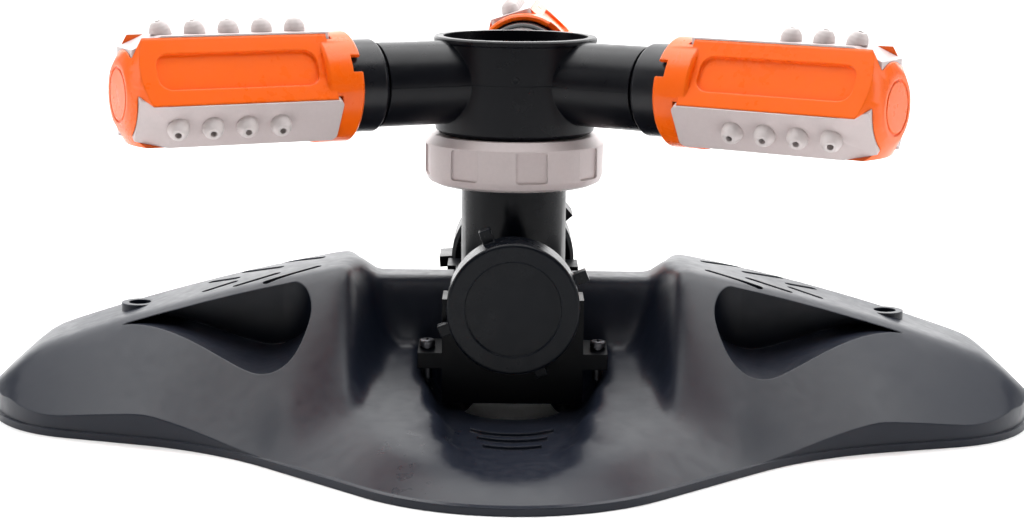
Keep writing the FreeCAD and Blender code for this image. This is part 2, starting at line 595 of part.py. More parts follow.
def inlet_nut():
    """Swivel nut for the hose, ribbed for grip."""
    at = (0.0, PIPE_Z)
    end = NUT_START_Y + NUT_LENGTH
    nut = cyl(NUT_RADIUS, NUT_START_Y, end, at, "y")
    nut = nut.makeChamfer(1.0, [e for e in nut.Edges if e.Curve.TypeId == "Part::GeomCircle"])
    nut = nut.multiFuse(rear_lugs(NUT_LUGS, NUT_LUG_DEG, NUT_RADIUS, NUT_START_Y + 1.0, end - 5.0))
    thread = end - NUT_THREAD_LENGTH
    tools = [cyl(TAIL_RADIUS + RUN, NUT_START_Y - 1.0, end, at, "y"),
             cyl(TAIL_FLANGE_RADIUS + CLEARANCE, NUT_START_Y + NUT_LIP, end, at, "y"),
             cyl(THREAD_RADIUS + 0.1, thread, end + 1.0, at, "y")]
    return nut.cut(Part.Compound(tools)).removeSplitter()


def inlet_washer():
    """Rubber seal against the tailpiece."""
    start = NUT_START_Y + NUT_LIP + CLEARANCE + TAIL_FLANGE + 0.02
    ring = cyl(TAIL_FLANGE_RADIUS, start, start + 2.4, (0.0, PIPE_Z), "y")
    return ring.cut(cyl(TAIL_BORE + 1.5, start - 1.0, start + 3.0, (0.0, PIPE_Z), "y"))


def inlet_filter():
    """Domed grit screen set in the inlet seal."""
    start = NUT_START_Y + NUT_LIP + CLEARANCE + TAIL_FLANGE + 0.06
    outer, inner = TAIL_BORE + 1.45, TAIL_BORE - 0.2
    cup = turned([(0.0, -5.0), (inner - 2.5, -4.6), (inner, -2.5), (inner, 0.0), (outer, 0.0), (outer, 0.8),
                  (inner - 1.0, 0.8), (inner - 1.0, -2.2), (inner - 3.0, -3.6), (0.0, -4.0)])
    holes = [cyl(0.5, -8.0, 0.0, (r * math.cos(a), r * math.sin(a)))
             for r, n in ((1.6, 6), (3.2, 12)) for a in (2 * math.pi * i / n for i in range(n))]
    return along_y(cup.cut(Part.Compound(holes)), start)


# ---------------------------------------------------------------- rotor
SKIRT_BOTTOM = RING_BOTTOM + RING_FLOOR + 1.4
FLANGE_BOTTOM = RING_BOTTOM + RING_FLOOR + THRUST_WASHER + CLEARANCE
FLANGE_TOP = FLANGE_BOTTOM + SPINDLE_FLANGE
HUB_UNDERSIDE = FLANGE_TOP + THRUST_WASHER + CLEARANCE + 0.02
CHAMBER_FLOOR = HUB_UNDERSIDE + HUB_FLOOR
LID_SEAT = HUB_TOP - LID_DEPTH - LID_THICKNESS


def spindle():
    """Hollow axle pressed in the neck; its flange carries the rotor."""
    top = CHAMBER_FLOOR - 0.5
    return turned([(SPINDLE_BORE, NECK_TOP - SPINDLE_SEAT + SEAT), (SPINDLE_RADIUS - SEAT, NECK_TOP - SPINDLE_SEAT + SEAT),
                   (SPINDLE_RADIUS - SEAT, FLANGE_BOTTOM), (SPINDLE_FLANGE_RADIUS, FLANGE_BOTTOM),
                   (SPINDLE_FLANGE_RADIUS, FLANGE_TOP), (SPINDLE_RADIUS - SEAT, FLANGE_TOP),
                   (SPINDLE_RADIUS - SEAT, top), (SPINDLE_BORE, top)])


def retaining_ring():
    """Threaded ring under the hub, with shallow grip pockets."""
    inner = SKIRT_RADIUS + SEAT
    ring = turned([(SPINDLE_RADIUS + CLEARANCE, RING_BOTTOM), (RING_RADIUS - 2.6, RING_BOTTOM),
                   (RING_RADIUS - 0.8, RING_BOTTOM + 0.8), (RING_RADIUS, RING_BOTTOM + 2.6),
                   (RING_RADIUS, RING_TOP - 2.0), (RING_RADIUS - 1.7, RING_TOP),
                   (inner, RING_TOP), (inner, RING_BOTTOM + RING_FLOOR),
                   (SPINDLE_RADIUS + CLEARANCE, RING_BOTTOM + RING_FLOOR)])
    half = RING_RADIUS * math.sin(math.radians(RING_POCKET_DEG / 2))
    tools = []
    for i in range(RING_POCKETS):
        pocket = box(-half, half, -RING_RADIUS - 2.0, -RING_RADIUS + RING_POCKET_DEPTH,
                     RING_BOTTOM + 2.4, RING_TOP - 2.4)
        upright = [e for e in pocket.Edges if abs(e.tangentAt(e.FirstParameter).y) > 0.9]
        pocket = pocket.makeFillet(0.8, upright)
        pocket.rotate(Vector(0, 0, 0), Vector(0, 0, 1), RING_POCKET_PHASE + 360.0 * i / RING_POCKETS)
        tools.append(pocket)
    return ring.cut(Part.Compound(tools))


def thrust_washer(bottom, inner, outer):
    """Flat ring that the spindle's flange runs against."""
    return cyl(outer, bottom, bottom + THRUST_WASHER).cut(cyl(inner, bottom - 1.0, bottom + 5.0))


def seal_groove(grow):
    """Ring-shaped room of the shaft seal, or the seal itself when grow is negative."""
    mid = (HUB_UNDERSIDE + CHAMBER_FLOOR) / 2
    half = SEAL_WIDTH / 2 + grow
    outer = SPINDLE_RADIUS + 2.0 + grow
    return cyl(outer, mid - half, mid + half).cut(cyl(SPINDLE_RADIUS + RUN - SEAT, mid - half - 1, mid + half + 1))


def in_arm_frame(shape, azimuth):
    """Turns a shape built along +X from the rotor's axis to an arm's direction."""
    shape = shape.copy()
    shape.translate(Vector(0, 0, ARM_Z))
    shape.rotate(Vector(0, 0, 0), Vector(0, 0, 1), azimuth)
    return shape


def arm_pipe():
    """One arm along +X: pipe, threaded nose and the spigot that the head turns on."""
    solid = [cyl(ARM_PIPE_RADIUS, HUB_RADIUS - 6.0, COLLAR_START - 0.6, axis="x"),
             cyl(NOSE_RADIUS, COLLAR_START - 1.0, ARM_PIPE_END, axis="x"),
             cyl(SPIGOT_RADIUS, ARM_PIPE_END - 1.0, SPIGOT_END, axis="x")]
    groove = cyl(SPIGOT_RADIUS + 1.0, ORING_AT - 1.1, ORING_AT + 1.1, axis="x")
    groove = groove.cut(cyl(SPIGOT_RADIUS - ORING_WIRE, 0.0, SPIGOT_END, axis="x"))
    return union(solid).cut(groove)


def rotor_hub():
    """Hub with its water chamber, threaded skirt and three arms."""
    outer = turned([(0.0, SKIRT_BOTTOM), (SKIRT_RADIUS, SKIRT_BOTTOM), (SKIRT_RADIUS, HUB_BOTTOM),
                    (HUB_RADIUS - 0.8, HUB_BOTTOM), (HUB_RADIUS, HUB_BOTTOM + 0.8),
                    (HUB_RADIUS, HUB_TOP - HUB_RIM), (HUB_RIM_RADIUS, HUB_TOP - HUB_RIM + 0.4),
                    (HUB_RIM_RADIUS, HUB_TOP - 0.4), (HUB_RIM_RADIUS - 0.4, HUB_TOP), (0.0, HUB_TOP)])
    hub = outer.multiFuse([in_arm_frame(arm_pipe(), a) for a in ARM_AZIMUTHS])
    chamber = HUB_RADIUS - HUB_WALL
    tools = [cyl(SKIRT_BORE, SKIRT_BOTTOM - 1.0, HUB_UNDERSIDE), cyl(SPINDLE_RADIUS + RUN, HUB_UNDERSIDE, CHAMBER_FLOOR),
             cyl(chamber, CHAMBER_FLOOR, LID_SEAT), cyl(chamber + 0.8, LID_SEAT, HUB_TOP + 1.0), seal_groove(0.1)]
    tools += [in_arm_frame(cyl(ARM_BORE, chamber - 5.0, SPIGOT_END + 1.0, axis="x"), a) for a in ARM_AZIMUTHS]
    return hub.cut(Part.Compound(tools)).removeSplitter()


def hub_lid():
    """Lid pressed in the hub's top."""
    radius = HUB_RADIUS - HUB_WALL + 0.8 - SEAT
    lid = cyl(radius, LID_SEAT, LID_SEAT + LID_THICKNESS)
    return lid.makeChamfer(0.5, [e for e in lid.Edges if e.BoundBox.ZMin > LID_SEAT + 0.1
                                 and e.Curve.TypeId == "Part::GeomCircle"])


# ---------------------------------------------------------------- spray heads, built along +X
def arm_collar():
    """Union collar that traps the head's tail on the arm."""
    collar = cyl(COLLAR_RADIUS, COLLAR_START, COLLAR_END, axis="x")
    collar = collar.makeChamfer(0.8, [e for e in collar.Edges if e.Curve.TypeId == "Part::GeomCircle"])
    lip = ARM_PIPE_END + CLEARANCE + CORE_FLANGE + CLEARANCE
    tools = [cyl(NOSE_RADIUS + SEAT, COLLAR_START - 1.0, lip, axis="x"),
             cyl(CORE_TAIL_RADIUS + CLEARANCE, lip - 1.0, COLLAR_END + 1.0, axis="x")]
    return collar.cut(Part.Compound(tools))


def arm_oring():
    """Round seal on the spigot."""
    ring = Part.makeTorus(SPIGOT_RADIUS - ORING_WIRE / 2, ORING_WIRE / 2 - SEAT, Vector(ORING_AT, 0, 0), Vector(1, 0, 0))
    return ring


def about_arm(shape, degrees):
    """Turns a shape about +X from +Z towards +Y."""
    shape = shape.copy()
    shape.rotate(Vector(0, 0, 0), Vector(1, 0, 0), -degrees)
    return shape


def strip_bar(start, end, half, low, high):
    """Bar on top of the head: start and end along the arm, low and high from its axis."""
    return box(start, end, -half, half, low, high)


def nozzle_frames():
    """Strip angle, place along the arm and tilt of every nozzle of a head."""
    for strip, count in enumerate(STRIP_NOZZLES):
        for i in range(count):
            yield 120.0 * strip, NOZZLE_OUTER - NOZZLE_PITCH * i, NOZZLE_TILTS[i]


def on_strip(shape, angle, x, tilt):
    """Stands a shape built up +Z from the origin on a strip, leaning outwards by tilt."""
    shape = shape.copy()
    shape.rotate(Vector(0, 0, 0), Vector(0, 1, 0), tilt)
    shape.translate(Vector(x, 0, STRIP_APOTHEM))
    return about_arm(shape, angle)


def nozzle_core():
    """Head's body: water chamber with three raised strips and the tail that the collar traps."""
    tail = ARM_PIPE_END + CLEARANCE
    solids = [cyl(CORE_RADIUS, CORE_START, HEAD_END - CAGE_END_WALL - 0.1, axis="x"),
              cyl(CORE_TAIL_RADIUS, tail, CORE_START + 1.0, axis="x"),
              cyl(CORE_FLANGE_RADIUS, tail, tail + CORE_FLANGE, axis="x")]
    end = HEAD_END - STRIP_BACK
    length, drop = STRIP_CHAMFER
    for k in range(3):
        bar = strip_bar(STRIP_START + 1.6, end, STRIP_HALF_WIDTH, CORE_RADIUS - 1.2, STRIP_APOTHEM)
        head = box(STRIP_START, STRIP_START + 2.0, -STRIP_HALF_WIDTH, STRIP_HALF_WIDTH, 10.0, STRIP_APOTHEM)
        upright = [e for e in head.Edges if abs(e.tangentAt(e.FirstParameter).z) > 0.9
                   and e.BoundBox.XMax < STRIP_START + 0.1]
        bar = bar.fuse(head.makeFillet(1.5, upright))
        wedge = Part.Face(Part.makePolygon([Vector(end - length, -20, STRIP_APOTHEM), Vector(end + 1.0, -20, STRIP_APOTHEM),
                                            Vector(end + 1.0, -20, STRIP_APOTHEM - drop * (length + 1.0) / length),
                                            Vector(end - length, -20, STRIP_APOTHEM)])).extrude(Vector(0, 40, 0))
        beyond = box(HEAD_END - CAGE_END_WALL - 0.1, HEAD_END + 1.0, -20.0, 20.0, 0.0, STRIP_SEAT)
        solids.append(about_arm(bar.cut(Part.Compound([wedge, beyond])), 120.0 * k))
    core = union(solids)
    tools = [cyl(SPIGOT_RADIUS + RUN, tail - 1.0, SPIGOT_END + 1.0, axis="x"),
             cyl(CORE_RADIUS - CORE_WALL, SPIGOT_END + 1.0, HEAD_END - CAGE_END_WALL - 2.5, axis="x")]
    for angle, x, tilt in nozzle_frames():
        tools.append(on_strip(cyl(NOZZLE_STUB[0] + SEAT, -NOZZLE_STUB[1] - SEAT, 3.0), angle, x, tilt))
        tools.append(on_strip(cyl(NOZZLE_ORIFICE, -7.5, 0.0), angle, x, tilt))
    return core.cut(Part.Compound(tools)).removeSplitter()


def nozzle():
    """One nozzle, built up +Z: a plug, a domed body and its orifice."""
    body = turned([(0.0, -NOZZLE_STUB[1]), (NOZZLE_STUB[0], -NOZZLE_STUB[1]), (NOZZLE_STUB[0], 0.0),
                   (NOZZLE_RADIUS, 0.0), (NOZZLE_RADIUS, 1.0), (NOZZLE_RADIUS - 0.25, 1.9),
                   (NOZZLE_RADIUS - 0.7, 2.6), (NOZZLE_TIP_RADIUS, NOZZLE_HEIGHT), (0.0, NOZZLE_HEIGHT)])
    return body.cut(cyl(NOZZLE_ORIFICE, -5.0, 5.0))


def nozzle_tips():
    """All nozzles of a head, each cut off where it meets its strip."""
    half = 20.0
    tips = []
    for angle, x, tilt in nozzle_frames():
        lean = NOZZLE_RADIUS * math.sin(math.radians(tilt))
        foot = turned([(0.0, -lean - 0.6), (NOZZLE_RADIUS, -lean - 0.6), (NOZZLE_RADIUS, 0.1), (0.0, 0.1)])
        tip = nozzle().fuse(foot.cut(cyl(NOZZLE_ORIFICE, -9.0, 5.0)))
        tip = on_strip(tip, 0.0, x, tilt)
        buried = box(x - half, x + half, -half, half, 0.0, STRIP_APOTHEM)
        plug = on_strip(cyl(NOZZLE_STUB[0], -NOZZLE_STUB[1], 1.0), 0.0, x, tilt)
        tip = tip.cut(buried.cut(plug))
        tips.append(about_arm(tip, angle))
    return Part.Compound(tips)


def hex_prism(strip_apothem, panel_apothem, start, end):
    """Six-sided prism along +X with alternate faces at the two distances from its axis."""
    prism = cyl(30.0, start, end, axis="x")
    for k in range(3):
        prism = prism.common(about_arm(box(start, end, -40.0, 40.0, -60.0, strip_apothem), 120.0 * k))
        prism = prism.common(about_arm(box(start, end, -40.0, 40.0, -60.0, panel_apothem), 120.0 * k + 60.0))
    return prism


def spray_cage():
    """Sleeve round the core: three panels, an end wall and the grip ring behind."""
    wall = CAGE_THICKNESS
    start = CAGE_RING_END - 2.0
    outer = hex_prism(STRIP_APOTHEM, PANEL_APOTHEM, start, HEAD_END)
    taper, flat = END_TAPER
    point = Part.makeCone(STRIP_APOTHEM + 2.5, flat, taper, Vector(HEAD_END - taper, 0, 0), Vector(1, 0, 0))
    outer = outer.common(cyl(30.0, 0.0, HEAD_END - taper, axis="x").fuse(point))
    inner = hex_prism(STRIP_APOTHEM - wall, PANEL_APOTHEM - wall, start - 1.0, HEAD_END - CAGE_END_WALL)
    ring = cyl(CAGE_RING_RADIUS, HEAD_START, CAGE_RING_END, axis="x")
    ring = ring.makeChamfer(0.6, [e for e in ring.Edges if e.Curve.TypeId == "Part::GeomCircle"])
    ring = ring.cut(cyl(COLLAR_RADIUS + 0.5, HEAD_START - 1.0, COLLAR_END + 0.8, axis="x"))
    cage = outer.cut(inner).fuse(ring)
    tools = [cyl(CORE_RADIUS + 0.05, HEAD_START, CAGE_RING_END + 1.0, axis="x")]
    width, depth = CAGE_NOTCH
    disc, groove, sunk = END_DISC
    tools.append(cyl(disc + groove, HEAD_END - sunk, HEAD_END + 1.0, axis="x").cut(
        cyl(disc, HEAD_END - sunk - 1.0, HEAD_END + 1.0, axis="x")))
    for k in range(3):
        tools.append(about_arm(strip_bar(STRIP_START - 0.1, HEAD_END - STRIP_BACK + 0.1, STRIP_HALF_WIDTH + 0.05,
                                         STRIP_SEAT - 0.05, STRIP_APOTHEM + 9.0), 120.0 * k))
        tools.append(about_arm(strip_bar(STRIP_START + 1.5, HEAD_END - CAGE_END_WALL, STRIP_HALF_WIDTH + 0.05,
                                         0.0, STRIP_APOTHEM + 9.0), 120.0 * k))
        notch = strip_bar(HEAD_START - 1.0, HEAD_START + depth, width / 2, 9.0, 16.0)
        tools.append(about_arm(notch, 120.0 * k + 60.0))
        window = strip_bar(CAGE_RING_END + WINDOW_MARGIN - 0.6, HEAD_END - taper - 1.2, WINDOW[0] / 2,
                           PANEL_APOTHEM - WINDOW[1], 16.0)
        corners = [e for e in window.Edges if abs(e.tangentAt(e.FirstParameter).z) > 0.9]
        tools.append(about_arm(window.makeFillet(3.0, corners), 120.0 * k + 60.0))
    return cage.cut(Part.Compound(tools)).removeSplitter()


# ---------------------------------------------------------------- every piece
def main():
    """Builds every piece and writes it to parts/."""
    os.makedirs("parts", exist_ok=True)
    lower = RING_BOTTOM + RING_FLOOR + 0.02
    pieces = {
        "base_shell": base_shell(),
        "tee_saddle": tee_saddle(),
        "saddle_screws": saddle_screws(),
        "tee_screws": tee_screws(),
        "tee_body": tee_body(),
        "outlet_cap": outlet_cap(),
        "cap_washer": cap_washer(),
        "inlet_tailpiece": inlet_tailpiece(),
        "inlet_nut": inlet_nut(),
        "inlet_washer": inlet_washer(),
        "inlet_filter": inlet_filter(),
        "spindle": spindle(),
        "rotor_hub": rotor_hub(),
        "hub_lid": hub_lid(),
        "retaining_ring": retaining_ring(),
        "thrust_washer_lower": thrust_washer(lower, SPINDLE_RADIUS + CLEARANCE, SPINDLE_FLANGE_RADIUS),
        "thrust_washer_upper": thrust_washer(FLANGE_TOP + CLEARANCE, SPINDLE_RADIUS + CLEARANCE,
                                             SPINDLE_FLANGE_RADIUS),
        "rotor_seal": seal_groove(-0.05),
    }
    heads = {"arm_collar": arm_collar(), "arm_oring": arm_oring(), "nozzle_core": nozzle_core(),
             "nozzle_tips": nozzle_tips(), "spray_cage": spray_cage()}
    for side, azimuth, roll in zip(("left", "right", "rear"), ARM_AZIMUTHS, ARM_ROLL):
        for name, shape in heads.items():
            turned_head = shape if name.startswith("arm") else about_arm(shape, roll)
            pieces[name + "_" + side] = in_arm_frame(turned_head, azimuth)
    for name, shape in pieces.items():
        shape.exportStep("parts/" + name + ".step")


main()
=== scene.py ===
"""Rotary lawn sprinkler: finishes, fine details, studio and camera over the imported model."""

import json
import logging
import math
from dataclasses import dataclass, field
from enum import Enum

import bpy
from mathutils import Matrix, Vector

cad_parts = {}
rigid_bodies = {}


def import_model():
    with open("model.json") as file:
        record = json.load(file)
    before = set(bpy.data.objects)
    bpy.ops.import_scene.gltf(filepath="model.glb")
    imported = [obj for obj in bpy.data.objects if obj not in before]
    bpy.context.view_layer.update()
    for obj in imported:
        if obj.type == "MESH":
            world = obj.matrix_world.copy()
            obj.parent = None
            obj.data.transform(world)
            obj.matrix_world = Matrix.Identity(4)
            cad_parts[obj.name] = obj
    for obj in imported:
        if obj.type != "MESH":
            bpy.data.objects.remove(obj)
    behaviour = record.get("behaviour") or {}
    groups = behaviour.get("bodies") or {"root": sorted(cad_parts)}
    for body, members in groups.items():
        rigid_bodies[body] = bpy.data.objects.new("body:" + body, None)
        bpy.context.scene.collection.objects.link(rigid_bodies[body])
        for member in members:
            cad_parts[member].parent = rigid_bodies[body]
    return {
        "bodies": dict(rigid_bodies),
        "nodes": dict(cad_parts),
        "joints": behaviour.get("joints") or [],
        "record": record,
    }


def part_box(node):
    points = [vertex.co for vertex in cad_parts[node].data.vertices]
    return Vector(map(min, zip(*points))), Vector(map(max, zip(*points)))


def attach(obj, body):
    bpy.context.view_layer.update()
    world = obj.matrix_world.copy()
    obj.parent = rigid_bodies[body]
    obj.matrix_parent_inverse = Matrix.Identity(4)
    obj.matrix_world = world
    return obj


LOG = logging.getLogger("sprinkler")
MM = 0.001
FULL_TURN = 2.0 * math.pi
EDGE_SAMPLES = 4                    # rays that find the rounded normal at an edge

# Finer layers in a noise.
FEW_LAYERS = 2.0
SOME_LAYERS = 3.0
MORE_LAYERS = 4.0
MANY_LAYERS = 5.0

# Limits handed to ShaderSheet.spread.
NOISE_MIDDLE = (0.3, 0.7)           # where most of a noise lies
NOISE_WIDE = (0.25, 0.75)
NOISE_UPPER = (0.35, 0.75)
RUBBED_PATCHES = (0.42, 0.62)       # noise that makes an edge whole or rubbed
BLOOM_PATCHES = (0.4, 0.7)
DULL_PATCHES = (0.45, 0.7)
DULL_CORES = (0.5, 0.75)
EDGE_FACING = (0.985, 0.86)         # agreement of true and rounded normals, off and on an edge
LOOKS_UP = (0.45, 1.0)              # upward part of the normal, where dust begins and is full


class Slot(Enum):
    """Names of material slots, passed along when pieces are added."""

    BLACK = "black_plastic"


class Side(Enum):
    """The three arms, by the side that each points to."""

    LEFT = "left"
    RIGHT = "right"
    REAR = "rear"


# ---------------------------------------------------------------- finishes
class ShaderSheet:
    """One material's nodes, with short ways to add them."""

    MIX_FACTOR, MIX_FIRST, MIX_SECOND, MIX_COLOUR = 0, 6, 7, 2     # sockets of a colour mix

    def __init__(self, name: str) -> None:
        """Starts an empty material.

        Args:
            name: the material's name.
        """
        self.material = bpy.data.materials.new(name)
        self.material.use_nodes = True
        self.tree = self.material.node_tree
        self.tree.nodes.clear()

    def feed(self, socket: bpy.types.NodeSocket, value: object) -> None:
        """Links an output to an input socket, or sets the socket to a constant.

        Args:
            socket: the input socket.
            value: an output socket, or a constant.
        """
        if isinstance(value, bpy.types.NodeSocket):
            self.tree.links.new(value, socket)
        else:
            socket.default_value = value

    def add(self, kind: str, settings: dict | None = None, **inputs: object) -> bpy.types.Node:
        """Adds a node.

        Args:
            kind: the node's type, without the ShaderNode prefix.
            settings: attributes of the node.
            inputs: value or output socket for each input, by its name with underscores, or
                by its place as i0, i1 and so on.

        Returns:
            The new node.
        """
        node = self.tree.nodes.new("ShaderNode" + kind)
        for name, value in (settings or {}).items():
            setattr(node, name, value)
        for name, value in inputs.items():
            by_place = name[0] == "i" and name[1:].isdigit()
            key = int(name[1:]) if by_place else name.replace("_", " ")
            self.feed(node.inputs[key], value)
        return node

    def math(self, operation: str, a: object, b: object = 0.0) -> bpy.types.NodeSocket:
        """Works out a sum, product or other operation on two values.

        Args:
            operation: the math node's operation.
            a: first value or socket.
            b: second value or socket.

        Returns:
            The result's socket.
        """
        return self.add("Math", {"operation": operation}, i0=a, i1=b).outputs[0]

    def noise(self, place: bpy.types.NodeSocket, size: float,
              detail: float = FEW_LAYERS) -> bpy.types.NodeSocket:
        """Adds noise from 0 to 1.

        Args:
            place: socket of the point on the surface.
            size: rough size of its features in metres.
            detail: how many finer layers it has.

        Returns:
            The noise's socket.
        """
        return self.add("TexNoise", Vector=place, Scale=1.0 / size, Detail=detail).outputs["Fac"]

    def spread(self, value: bpy.types.NodeSocket, limits: tuple[float, float],
               onto: tuple[float, float] = (0.0, 1.0)) -> bpy.types.NodeSocket:
        """Maps a value between two limits onto two others, clamped.

        Args:
            value: the value's socket.
            limits: the values that are mapped onto the ends.
            onto: the results at those limits.

        Returns:
            The mapped value's socket.
        """
        return self.add("MapRange", {"clamp": True}, i0=value, i1=limits[0], i2=limits[1],
                        i3=onto[0], i4=onto[1]).outputs[0]

    def mix(self, factor: object, a: object, b: object) -> bpy.types.NodeSocket:
        """Mixes two colours.

        Args:
            factor: share of the second colour, as a value or socket.
            a: first colour or socket.
            b: second colour or socket.

        Returns:
            The mixed colour's socket.
        """
        node = self.add("Mix", {"data_type": "RGBA"})
        for index, value in ((self.MIX_FACTOR, factor), (self.MIX_FIRST, a), (self.MIX_SECOND, b)):
            self.feed(node.inputs[index], value)
        return node.outputs[self.MIX_COLOUR]

    def bump(self, height: bpy.types.NodeSocket, **inputs: object) -> bpy.types.NodeSocket:
        """Turns a height in metres into a normal.

        Args:
            height: the height's socket.
            inputs: other inputs of the bump node.

        Returns:
            The normal's socket.
        """
        return self.add("Bump", Strength=1.0, Distance=1.0, Height=height, **inputs).outputs[0]

    def finish(self, surface: bpy.types.NodeSocket) -> bpy.types.Material:
        """Connects the surface shader.

        Args:
            surface: the shader's socket.

        Returns:
            The finished material.
        """
        self.add("OutputMaterial", Surface=surface)
        return self.material


def tint(colour: tuple[float, float, float],
         gain: float = 1.0) -> tuple[float, float, float, float]:
    """Brightens or darkens a colour.

    Args:
        colour: red, green and blue.
        gain: what each is multiplied by, before it is held at 1.

    Returns:
        The colour with alpha.
    """
    return tuple(min(c * gain, 1.0) for c in colour) + (1.0,)


@dataclass(frozen=True)
class MouldedPlastic:
    """Injection-moulded plastic with clouded colour, fine grain and rubbed edges."""

    name: str
    colour: tuple[float, float, float]
    roughness: float
    roughness_drift: float = 0.07
    rub_roughness: tuple[float, float] = (-0.03, 0.05)     # added where rub is low and high
    clouding: float = 0.12              # how far the colour drifts from cloud to cloud
    cloud_size: float = 38 * MM
    grain_size: float = 0.9 * MM
    grain_depth: float = 0.006 * MM
    grain_gain: float = 1.12            # brightness of the grain's peaks
    grain_share: float = 0.35
    ripple_size: float = 9 * MM
    ripple_depth: float = 0.05 * MM
    rub_size: float = 2.6 * MM
    edge_radius: float = 0.35 * MM
    edge_gain: float = 1.5              # brightness of rubbed edges
    edge_wear_least: float = 0.15
    edge_wear: float = 0.5
    coat: float = 0.0
    coat_roughness: float = 0.12
    specular: float = 0.5
    seam_height: float | None = None    # parting line across the piece, from the ground
    seam_reach: float = 0.16 * MM       # half the line's width
    seam_depth: float = 0.07 * MM
    dust: float = 0.0                   # share of pale film on faces that look up
    dust_colour: tuple[float, float, float] = (0.42, 0.41, 0.43)
    dust_patches: tuple[float, float] = (0.4, 1.0)
    dust_roughness: float = 0.35

    def material(self) -> bpy.types.Material:
        """Builds the material.

        Returns:
            The finished material.
        """
        sheet = ShaderSheet(self.name)
        place = sheet.add("TexCoord").outputs["Object"]
        drift = sheet.noise(place, self.cloud_size, MORE_LAYERS)
        grain = sheet.noise(place, self.grain_size)
        rub = sheet.noise(place, self.rub_size, MANY_LAYERS)
        normal = sheet.add("NewGeometry").outputs["Normal"]
        rounded = sheet.add("Bevel", {"samples": EDGE_SAMPLES},
                            Radius=self.edge_radius).outputs[0]
        colour = self.clouded(sheet, drift, grain)
        colour = sheet.mix(self.worn_edges(sheet, rub, normal, rounded), colour,
                           tint(self.colour, self.edge_gain))
        roughness = sheet.spread(drift, NOISE_MIDDLE, (self.roughness - self.roughness_drift,
                                                       self.roughness + self.roughness_drift))
        roughness = sheet.math("ADD", roughness,
                               sheet.spread(rub, NOISE_UPPER, self.rub_roughness))
        if self.dust:
            film = self.dust_film(sheet, rub, normal)
            colour = sheet.mix(film, colour, tint(self.dust_colour))
            roughness = sheet.math("ADD", roughness,
                                   sheet.math("MULTIPLY", film, self.dust_roughness))
        bump = sheet.bump(self.relief(sheet, place, grain), Normal=rounded)
        shader = sheet.add("BsdfPrincipled", Base_Color=colour, Roughness=roughness, Normal=bump)
        shader.inputs["Specular IOR Level"].default_value = self.specular
        shader.inputs["Coat Weight"].default_value = self.coat
        shader.inputs["Coat Roughness"].default_value = self.coat_roughness
        return sheet.finish(shader.outputs[0])

    def clouded(self, sheet: ShaderSheet, drift: bpy.types.NodeSocket,
                grain: bpy.types.NodeSocket) -> bpy.types.NodeSocket:
        """Colour with its slow clouds and fine grain.

        Args:
            sheet: the material's sheet.
            drift: the clouds' noise.
            grain: the grain's noise.

        Returns:
            The colour's socket.
        """
        clouds = sheet.mix(sheet.spread(drift, NOISE_MIDDLE),
                           tint(self.colour, 1.0 - self.clouding),
                           tint(self.colour, 1.0 + self.clouding))
        return sheet.mix(sheet.spread(grain, NOISE_WIDE, (0.0, self.grain_share)), clouds,
                         tint(self.colour, self.grain_gain))

    def worn_edges(self, sheet: ShaderSheet, rub: bpy.types.NodeSocket,
                   normal: bpy.types.NodeSocket,
                   rounded: bpy.types.NodeSocket) -> bpy.types.NodeSocket:
        """How far each edge is rubbed.

        Args:
            sheet: the material's sheet.
            rub: the rubbed patches' noise.
            normal: the surface's own normal.
            rounded: its normal with the edges rounded.

        Returns:
            Socket of a share from 0 to 1.
        """
        facing = sheet.add("VectorMath", {"operation": "DOT_PRODUCT"}, i0=rounded, i1=normal)
        edge = sheet.spread(facing.outputs["Value"], EDGE_FACING)
        patches = sheet.spread(rub, RUBBED_PATCHES, (self.edge_wear_least, self.edge_wear))
        return sheet.math("MULTIPLY", edge, patches)

    def dust_film(self, sheet: ShaderSheet, rub: bpy.types.NodeSocket,
                  normal: bpy.types.NodeSocket) -> bpy.types.NodeSocket:
        """How much dust lies on each face.

        Args:
            sheet: the material's sheet.
            rub: the noise that makes the film patchy.
            normal: the surface's normal.

        Returns:
            Socket of a share from 0 to 1.
        """
        up = sheet.add("SeparateXYZ", Vector=normal).outputs["Z"]
        return sheet.math("MULTIPLY", sheet.spread(up, LOOKS_UP, (0.0, self.dust)),
                          sheet.spread(rub, NOISE_MIDDLE, self.dust_patches))

    def relief(self, sheet: ShaderSheet, place: bpy.types.NodeSocket,
               grain: bpy.types.NodeSocket) -> bpy.types.NodeSocket:
        """Height of the grain, the slow ripple and the parting line.

        Args:
            sheet: the material's sheet.
            place: socket of the point on the surface.
            grain: the grain's noise.

        Returns:
            Socket of the height in metres.
        """
        ripple = sheet.math("MULTIPLY", sheet.noise(place, self.ripple_size), self.ripple_depth)
        height = sheet.math("ADD", sheet.math("MULTIPLY", grain, self.grain_depth), ripple)
        if self.seam_height is None:
            return height
        level = sheet.add("SeparateXYZ", Vector=place).outputs["Z"]
        away = sheet.math("ABSOLUTE", sheet.math("SUBTRACT", level, self.seam_height))
        line = sheet.spread(away, (0.0, self.seam_reach), (1.0, 0.0))
        return sheet.math("ADD", height, sheet.math("MULTIPLY", line, self.seam_depth))


